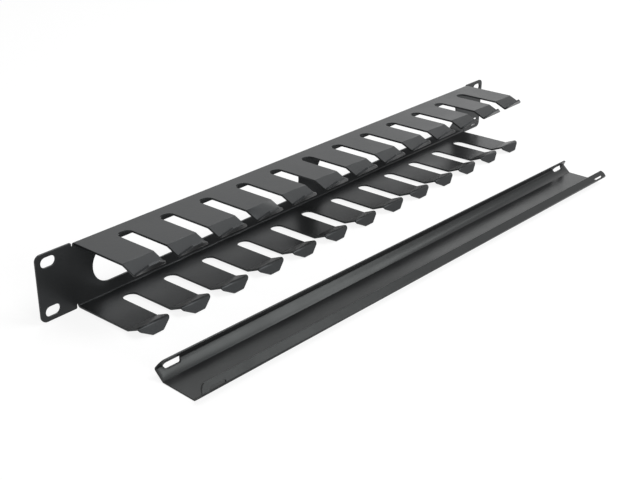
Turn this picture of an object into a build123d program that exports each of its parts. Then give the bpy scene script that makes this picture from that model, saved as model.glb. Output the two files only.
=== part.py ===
"""Rack cable management panel, one rack unit high, with its snap-in front cover.

Millimetres. X runs along the width, +Y points to the rear, +Z is up.
The origin is the centre of the four mounting slots, on the rear face.
The cover is shown taken off: it lies on its back in front of the panel, open side up.
"""
import os
from math import cos, radians, sin, tan

from build123d import *

# Rack fit
panel_width = 482.6
panel_height = 43.66
ear_width = 27.0
mount_edge = 8.75
mount_spacing_z = 31.75
mount_slot_length = 10.6
mount_slot_height = 6.6
ear_corner_r = 4.0
relief_width = 1.2
relief_mouth_r = 1.0

# Panel sheet, with its coat, and its folds
sheet = 1.4
fold_r = 1.0
tip_fold_r = 0.8

# Fingers, the same above and below
finger_count = 13
gap_width = 10.4
gap_root = 10.8
flat_depth = 45.3

# Bent finger tips: a slope towards the middle, then a lip back outwards
slope_angle = 23.6
slope_length = 10.35
lip_angle = 52.9
lip_length = 6.8
lip_shoulder = 1.8
lip_shoulder_r = 3.0
lip_taper_angle = 57.5
lip_end_r = 1.6

# Windows in the back plate
window_height = 25.0
window_web = 20.0
window_margin = 12.8

# Cover section, which snaps in between the two rows of tips
cover_sheet = 1.0
cover_fold_r = 0.6
cover_side_gap = 0.95
cover_entry_gap = 0.15
cover_end_gap = 1.3
cover_wall_angle = 40.6
cover_wall_rise = 5.5
cover_lip_rise = 5.0
cover_corner_r = 6.0
cover_slot_length = 11.9
cover_slot_inset = 11.2
rear_slot_height = 3.7
rear_slot_rise = 0.1
front_slot_height = 1.5
front_slot_rise = 1.4

# Where the cover lies
cover_x = -24.9
cover_y = -122.5
cover_turn = -2.65

# Widths across the panel and the middles of what repeats
mount_spacing_x = panel_width - 2 * mount_edge
body_width = panel_width - 2 * ear_width
finger_pitch = (body_width + gap_width) / finger_count
finger_width = finger_pitch - gap_width
finger_middles = [(i - (finger_count - 1) / 2) * finger_pitch for i in range(finger_count)]
gap_middles = [(i - finger_count / 2) * finger_pitch for i in range(1, finger_count)]
window_length = body_width / 2 - window_margin - window_web / 2

# Middle line of the panel's section, from the back plate to the upper finger's tip
back_y = -sheet / 2
flange_z = panel_height / 2 - sheet / 2
slope = radians(slope_angle)
lip = radians(lip_angle)
valley_y = -flat_depth - slope_length * cos(slope)
valley_z = flange_z - slope_length * sin(slope)
tip_y = valley_y - lip_length * cos(lip)
tip_z = valley_z + lip_length * sin(lip)
lip_end_half = finger_width / 2 - (lip_length - lip_shoulder) * tan(radians(lip_taper_angle))
upper_line = [(tip_y, tip_z), (valley_y, valley_z), (-flat_depth, flange_z), (back_y, flange_z)]
lower_line = [(y, -z) for y, z in reversed(upper_line)]
tip_line_r = tip_fold_r + sheet / 2
fold_line_r = fold_r + sheet / 2
section_radii = [tip_line_r, tip_line_r, fold_line_r, fold_line_r, tip_line_r, tip_line_r]
fold_depth = fold_r + sheet

# Half the throat between the rows, and the height on which panel and cover rest
crest_z = valley_z + tip_line_r * ((sin(slope) + sin(lip)) / sin(slope + lip) - 1) - sheet / 2
rest_z = -tip_z - sheet / 2 * cos(lip)

# Middle line of the cover's section, whose base lies at the resting height
cover_length = body_width - 2 * cover_end_gap
cover_fold_half = panel_height / 2 - sheet - cover_side_gap - cover_sheet / 2
cover_foot_half = cover_fold_half - cover_wall_rise / tan(radians(cover_wall_angle))
cover_tip_half = crest_z - cover_entry_gap - cover_sheet / 2
cover_base_z = cover_sheet / 2
cover_fold_z = cover_base_z + cover_wall_rise
cover_tip_z = cover_fold_z + cover_lip_rise
cover_right = [
    (cover_foot_half, cover_base_z),
    (cover_fold_half, cover_fold_z),
    (cover_tip_half, cover_tip_z),
]
cover_left = [(-x, z) for x, z in reversed(cover_right)]
cover_line_r = cover_fold_r + cover_sheet / 2

turn = radians(cover_turn)
cover_plane = Plane(origin=(cover_x, cover_y, rest_z), x_dir=(cos(turn), sin(turn), 0), z_dir=(0, 0, 1))
cover_section = Plane(origin=cover_plane.origin, x_dir=cover_plane.y_dir, z_dir=cover_plane.x_dir)
cover_side = Plane(origin=cover_plane.origin, x_dir=cover_plane.x_dir, z_dir=-cover_plane.y_dir)

# Outline of one lip in its own plane, from the valley out to its narrow end
with BuildSketch() as lip_outline:
    with BuildLine():
        Polyline(
            (-finger_width / 2, 0),
            (-finger_width / 2, lip_shoulder),
            (-lip_end_half, lip_length),
            (lip_end_half, lip_length),
            (finger_width / 2, lip_shoulder),
            (finger_width / 2, 0),
            close=True,
        )
    make_face()
    fillet(lip_outline.vertices().group_by(Axis.Y)[1], lip_shoulder_r)
    fillet(lip_outline.vertices().group_by(Axis.Y)[-1], lip_end_r)

# Finger panel, folded from one sheet
with BuildPart() as finger_panel:
    # Back web, flanges and tips as one long channel
    with BuildSketch(Plane.YZ):
        with BuildLine():
            FilletPolyline(*upper_line, *lower_line, radius=section_radii)
        trace(line_width=sheet)
    extrude(amount=body_width / 2, both=True)

    # Gaps between the fingers, open at the tips and round at the root
    with BuildSketch(Plane.XY):
        with Locations(*[(x, -gap_root - gap_width / 2) for x in gap_middles]):
            Circle(gap_width / 2)
            Rectangle(gap_width, -tip_y, align=(Align.CENTER, Align.MAX))
    extrude(amount=panel_height, both=True, mode=Mode.SUBTRACT)

    # Lips narrowed to a blunt point, above and below
    for side in (1, -1):
        lip_plane = Plane(
            origin=(0, valley_y, side * valley_z),
            x_dir=(1, 0, 0),
            z_dir=(0, -side * sin(lip), -cos(lip)),
        )
        with BuildSketch(lip_plane):
            Rectangle(body_width + gap_width, 2 * lip_length, align=(Align.CENTER, Align.MIN))
            with Locations(*[(x, 0) for x in finger_middles]):
                add(lip_outline.sketch, mode=Mode.SUBTRACT)
        extrude(amount=2 * sheet, both=True, mode=Mode.SUBTRACT)

    # Ears at the full height, with a small relief slot down past each fold's end, rounded at its mouth
    with BuildSketch(Plane.XZ) as ears:
        RectangleRounded(panel_width, panel_height, ear_corner_r)
        with GridLocations(0, panel_height, 1, 2):
            Rectangle(body_width, 2 * fold_depth, mode=Mode.SUBTRACT)
        with GridLocations(body_width + relief_width, panel_height, 2, 2):
            SlotOverall(2 * fold_depth + relief_width, relief_width, rotation=90, mode=Mode.SUBTRACT)
        for row in (0, -1):
            mouths = ears.vertices().group_by(Axis.Y)[row].sort_by(Axis.X)[1:-1]
            fillet(mouths, relief_mouth_r)
    extrude(amount=sheet)

    # Mounting slots in the ears and the two cable windows
    with BuildSketch(Plane.XZ):
        with GridLocations(mount_spacing_x, mount_spacing_z, 2, 2):
            SlotOverall(mount_slot_length, mount_slot_height)
        with GridLocations(window_web + window_length, 0, 2, 1):
            SlotOverall(window_length, window_height)
    extrude(amount=2 * sheet, mode=Mode.SUBTRACT)

# Front cover, a folded channel
with BuildPart() as front_cover:
    with BuildSketch(cover_section):
        with BuildLine():
            FilletPolyline(*cover_left, *cover_right, radius=cover_line_r)
        trace(line_width=cover_sheet)
    extrude(amount=cover_length / 2, both=True)

    # Side view: the lips' end corners are rounded
    with BuildSketch(cover_side) as side_view:
        Rectangle(cover_length, 2 * cover_tip_z + cover_sheet)
        fillet(side_view.vertices(), cover_corner_r)
    extrude(amount=panel_height / 2, both=True, mode=Mode.INTERSECT)

    # Slots near the ends: wide ones across the rear fold, narrow ones in the front lip just above its fold
    for side, rise, height in (
        (-1, rear_slot_rise, rear_slot_height),
        (1, front_slot_rise, front_slot_height),
    ):
        with BuildSketch(cover_side):
            with Locations((0, cover_fold_z + rise)):
                with GridLocations(cover_length - 2 * cover_slot_inset, 0, 2, 1):
                    SlotOverall(cover_slot_length, height)
        extrude(amount=side * panel_height / 2, mode=Mode.SUBTRACT)

os.makedirs("parts", exist_ok=True)

finger_panel.part.label = "finger_panel"
export_step(finger_panel.part, "parts/finger_panel.step")

front_cover.part.label = "front_cover"
export_step(front_cover.part, "parts/front_cover.step")
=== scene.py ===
"""Looks of the rack cable management panel and its cover: satin black powder coat on folded steel."""
from math import pi, radians

import bpy
from mathutils import Matrix, Vector


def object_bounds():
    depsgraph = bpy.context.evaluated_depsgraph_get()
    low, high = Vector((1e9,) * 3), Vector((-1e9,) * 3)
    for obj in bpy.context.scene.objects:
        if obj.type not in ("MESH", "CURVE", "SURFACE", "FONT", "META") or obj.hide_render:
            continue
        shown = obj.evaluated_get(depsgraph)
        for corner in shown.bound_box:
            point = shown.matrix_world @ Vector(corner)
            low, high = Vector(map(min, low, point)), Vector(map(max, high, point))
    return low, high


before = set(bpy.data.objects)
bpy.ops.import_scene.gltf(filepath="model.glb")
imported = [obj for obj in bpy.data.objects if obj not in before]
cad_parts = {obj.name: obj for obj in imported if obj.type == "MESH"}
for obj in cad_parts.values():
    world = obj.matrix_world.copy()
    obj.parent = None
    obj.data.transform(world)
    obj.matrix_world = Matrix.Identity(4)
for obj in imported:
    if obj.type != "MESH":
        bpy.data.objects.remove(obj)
cad_low, cad_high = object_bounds()

# Camera, found from the panel's edges in the photograph: metres and degrees, lens in millimetres
CAMERA_PLACE = (-0.54444, -0.45921, 0.27928)
CAMERA_YAW = -50.672
CAMERA_PITCH = -24.982
CAMERA_ROLL = 0.63
CAMERA_LENS = 57.9
CAMERA_SENSOR = 36.0
CAMERA_NEAR = 0.01
CAMERA_FAR = 50.0

# Sheet edges
WELD_GAP = 1e-6
FLAT_ANGLE = 0.5
EDGE_ROUNDING = 0.00018
EDGE_SEGMENTS = 2
EDGE_ANGLE = 40

# Coat: its colour, how strongly it mirrors, the tint of its shine and the place of its grain
COAT_COLOUR = (0.0166, 0.0172, 0.0177)
COAT_SPECULAR = 0.25
PANEL_SHEEN = (0.94, 1.0, 1.04)
COVER_SHEEN = (0.95, 1.0, 0.99)
PANEL_GRAIN_SHIFT = 0.0
COVER_GRAIN_SHIFT = 3.7

# Unevenness of the coat: patches to the metre, and how much they change
NOISE_LOW = 0.3
NOISE_HIGH = 0.7
CLOUD_SCALE = 30
CLOUD_CONTRAST = 0.12
GLOSS_SCALE = 45
SMOOTHEST = 0.28
ROUGHEST = 0.36

# Relief of the coat, with its height in metres
PEEL_SCALE = 450
PEEL_HEIGHT = 0.0001
PEEL_STRENGTH = 0.25
PEBBLE_SCALE = 2200
PEBBLE_HEIGHT = 0.00003
PEBBLE_STRENGTH = 0.35
PEBBLE_CRISPNESS = 0.6

# Surroundings
FLOOR_SIZE = 12.0
FLOOR_COLOUR = (0.2, 0.2, 0.2)
FLOOR_GLOW = 0.86
SURROUND_LIGHT = 0.1

# Lamps, which all point at one place on the panel: name, place, width and brightness
LAMP_AIM = (0.0, -0.06, 0.0)
LAMPS = (
    ("low_right", (1.16, 0.42, 0.66), 0.4, 1.4),
    ("high_behind", (0.56, 0.74, 1.27), 0.7, 2.75),
    ("high_right", (0.76, 0.2, 1.3), 0.7, 0.9),
    ("high_front", (0.48, -0.76, 1.35), 0.9, 5.8),
    ("low_front_left", (-0.64, -1.42, 0.56), 0.7, 7.0),
    ("low_front", (0.57, -1.3, 0.42), 0.5, 4.2),
)


def new_material(name):
    """A material with an empty node tree, its nodes and its links."""
    material = bpy.data.materials.new(name)
    material.use_nodes = True
    tree = material.node_tree
    tree.nodes.clear()
    return material, tree.nodes, tree.links


def powder_coat(name, sheen, grain_shift):
    """Satin powder coat: near black, with a fine pebble texture and slow changes of colour and gloss."""
    material, nodes, links = new_material(name)
    out = nodes.new("ShaderNodeOutputMaterial")
    shader = nodes.new("ShaderNodeBsdfPrincipled")
    shader.inputs["Specular IOR Level"].default_value = COAT_SPECULAR
    shader.inputs["Specular Tint"].default_value = (*sheen, 1)
    links.new(shader.outputs["BSDF"], out.inputs["Surface"])
    place = nodes.new("ShaderNodeTexCoord")
    shift = nodes.new("ShaderNodeMapping")
    shift.inputs["Location"].default_value = (grain_shift, grain_shift, grain_shift)
    links.new(place.outputs["Object"], shift.inputs["Vector"])

    def noise(scale, detail, roughness=0.5):
        node = nodes.new("ShaderNodeTexNoise")
        node.inputs["Scale"].default_value = scale
        node.inputs["Detail"].default_value = detail
        node.inputs["Roughness"].default_value = roughness
        links.new(shift.outputs["Vector"], node.inputs["Vector"])
        return node.outputs["Fac"]

    def spread(value, low, high):
        node = nodes.new("ShaderNodeMapRange")
        node.inputs["From Min"].default_value = NOISE_LOW
        node.inputs["From Max"].default_value = NOISE_HIGH
        node.inputs["To Min"].default_value = low
        node.inputs["To Max"].default_value = high
        links.new(value, node.inputs["Value"])
        return node.outputs["Result"]

    def relief(height, strength, distance):
        node = nodes.new("ShaderNodeBump")
        node.inputs["Strength"].default_value = strength
        node.inputs["Distance"].default_value = distance
        links.new(height, node.inputs["Height"])
        return node

    # Colour: slow cloudiness of the coat
    tint = nodes.new("ShaderNodeMix")
    tint.data_type = "RGBA"
    for end, share in (("A", 1 - CLOUD_CONTRAST), ("B", 1 + CLOUD_CONTRAST)):
        tint.inputs[end].default_value = (*(share * channel for channel in COAT_COLOUR), 1)
    links.new(spread(noise(CLOUD_SCALE, detail=3), 0, 1), tint.inputs["Factor"])
    links.new(tint.outputs["Result"], shader.inputs["Base Color"])

    # Gloss: satin, a little uneven
    gloss = spread(noise(GLOSS_SCALE, detail=4), SMOOTHEST, ROUGHEST)
    links.new(gloss, shader.inputs["Roughness"])

    # Relief: the fine pebble of powder coat over a softer orange peel
    peel = relief(noise(PEEL_SCALE, detail=2), PEEL_STRENGTH, PEEL_HEIGHT)
    pebble = relief(noise(PEBBLE_SCALE, 3, PEBBLE_CRISPNESS), PEBBLE_STRENGTH, PEBBLE_HEIGHT)
    links.new(peel.outputs["Normal"], pebble.inputs["Normal"])
    links.new(pebble.outputs["Normal"], shader.inputs["Normal"])
    return material


def dress(node, material):
    """Gives a sheet-metal node its coat and rounds its cut edges."""
    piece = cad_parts[node]
    for material_slot in piece.material_slots:
        material_slot.material = material

    # The triangles become whole faces first, so that only the sheet's real edges are rounded
    weld = piece.modifiers.new("weld", "WELD")
    weld.merge_threshold = WELD_GAP
    flatten = piece.modifiers.new("whole_faces", "DECIMATE")
    flatten.decimate_type = "DISSOLVE"
    flatten.angle_limit = radians(FLAT_ANGLE)
    rounding = piece.modifiers.new("edge_rounding", "BEVEL")
    rounding.width = EDGE_ROUNDING
    rounding.segments = EDGE_SEGMENTS
    rounding.limit_method = "ANGLE"
    rounding.angle_limit = radians(EDGE_ANGLE)
    rounding.use_clamp_overlap = False
    rounding.loop_slide = False
    rounding.harden_normals = True

    # Joins the few corners that the rounding leaves double
    close_up = piece.modifiers.new("weld_rounding", "WELD")
    close_up.merge_threshold = WELD_GAP


def seen_rays(nodes, links):
    """1 for rays that show the background, from the camera, a mirror or glass, and 0 for the rest."""
    path = nodes.new("ShaderNodeLightPath")
    total = path.outputs["Is Camera Ray"]
    for ray in ("Is Glossy Ray", "Is Transmission Ray"):
        larger = nodes.new("ShaderNodeMath")
        larger.operation = "MAXIMUM"
        links.new(total, larger.inputs[0])
        links.new(path.outputs[ray], larger.inputs[1])
        total = larger.outputs["Value"]
    return total


def seen_or_lighting(nodes, links, seen, lighting):
    """One shader where the surroundings are seen, and another where they only light."""
    choice = nodes.new("ShaderNodeMixShader")
    links.new(seen_rays(nodes, links), choice.inputs["Fac"])
    links.new(lighting, choice.inputs[1])
    links.new(seen, choice.inputs[2])
    return choice.outputs["Shader"]


def make_floor(height):
    """A plain floor just under the object: it takes the shadow, and shows as white."""
    material, nodes, links = new_material("floor")
    out = nodes.new("ShaderNodeOutputMaterial")
    matt = nodes.new("ShaderNodeBsdfDiffuse")
    matt.inputs["Color"].default_value = (*FLOOR_COLOUR, 1)
    glow = nodes.new("ShaderNodeEmission")
    glow.inputs["Strength"].default_value = FLOOR_GLOW
    dark = nodes.new("ShaderNodeEmission")
    dark.inputs["Strength"].default_value = 0.0
    own_light = seen_or_lighting(nodes, links, glow.outputs["Emission"], dark.outputs["Emission"])
    both = nodes.new("ShaderNodeAddShader")
    links.new(matt.outputs["BSDF"], both.inputs[0])
    links.new(own_light, both.inputs[1])
    links.new(both.outputs["Shader"], out.inputs["Surface"])
    half = FLOOR_SIZE / 2
    corners = [(x * half, y * half, height) for x, y in ((-1, -1), (1, -1), (1, 1), (-1, 1))]
    mesh = bpy.data.meshes.new("floor")
    mesh.from_pydata(corners, [], [(0, 1, 2, 3)])
    mesh.materials.append(material)
    floor = bpy.data.objects.new("floor", mesh)
    bpy.context.scene.collection.objects.link(floor)


def make_world():
    """White surroundings: full white where they are seen, less where they light."""
    world = bpy.data.worlds.new("surroundings")
    bpy.context.scene.world = world
    world.use_nodes = True
    nodes, links = world.node_tree.nodes, world.node_tree.links
    nodes.clear()
    out = nodes.new("ShaderNodeOutputWorld")
    light = nodes.new("ShaderNodeBackground")
    light.inputs["Strength"].default_value = SURROUND_LIGHT
    seen = nodes.new("ShaderNodeBackground")
    seen.inputs["Strength"].default_value = 1.0
    for background in (light, seen):
        background.inputs["Color"].default_value = (1, 1, 1, 1)
    mixed = seen_or_lighting(nodes, links, seen.outputs["Background"], light.outputs["Background"])
    links.new(mixed, out.inputs["Surface"])


def make_lamp(name, place, width, brightness):
    """A square lamp that points at the panel and isn't seen itself."""
    data = bpy.data.lights.new(name, "AREA")
    data.shape = "SQUARE"
    data.size = width
    data.energy = brightness * pi * width ** 2
    lamp = bpy.data.objects.new(name, data)
    lamp.visible_camera = False
    bpy.context.scene.collection.objects.link(lamp)
    towards = Vector(LAMP_AIM) - Vector(place)
    lamp.location = place
    lamp.rotation_euler = towards.to_track_quat("-Z", "Y").to_euler()


def make_camera():
    """The photograph's camera. It looks straight down before it is tipped, so level is 90 degrees."""
    data = bpy.data.cameras.new("camera")
    data.sensor_fit = "HORIZONTAL"
    data.sensor_width = CAMERA_SENSOR
    data.lens = CAMERA_LENS
    data.clip_start = CAMERA_NEAR
    data.clip_end = CAMERA_FAR
    camera = bpy.data.objects.new("camera", data)
    bpy.context.scene.collection.objects.link(camera)
    turn = Matrix.Rotation(radians(CAMERA_YAW), 4, "Z")
    tip = Matrix.Rotation(radians(90 + CAMERA_PITCH), 4, "X")
    roll = Matrix.Rotation(radians(CAMERA_ROLL), 4, "Z")
    camera.matrix_world = Matrix.Translation(Vector(CAMERA_PLACE)) @ turn @ tip @ roll
    bpy.context.scene.camera = camera


dress("finger_panel", powder_coat("black_powder_coat_panel", PANEL_SHEEN, PANEL_GRAIN_SHIFT))
dress("front_cover", powder_coat("black_powder_coat_cover", COVER_SHEEN, COVER_GRAIN_SHIFT))
make_floor(cad_low.z)
make_world()
for lamp_values in LAMPS:
    make_lamp(*lamp_values)
make_camera()
bpy.context.scene.view_settings.view_transform = "Standard"
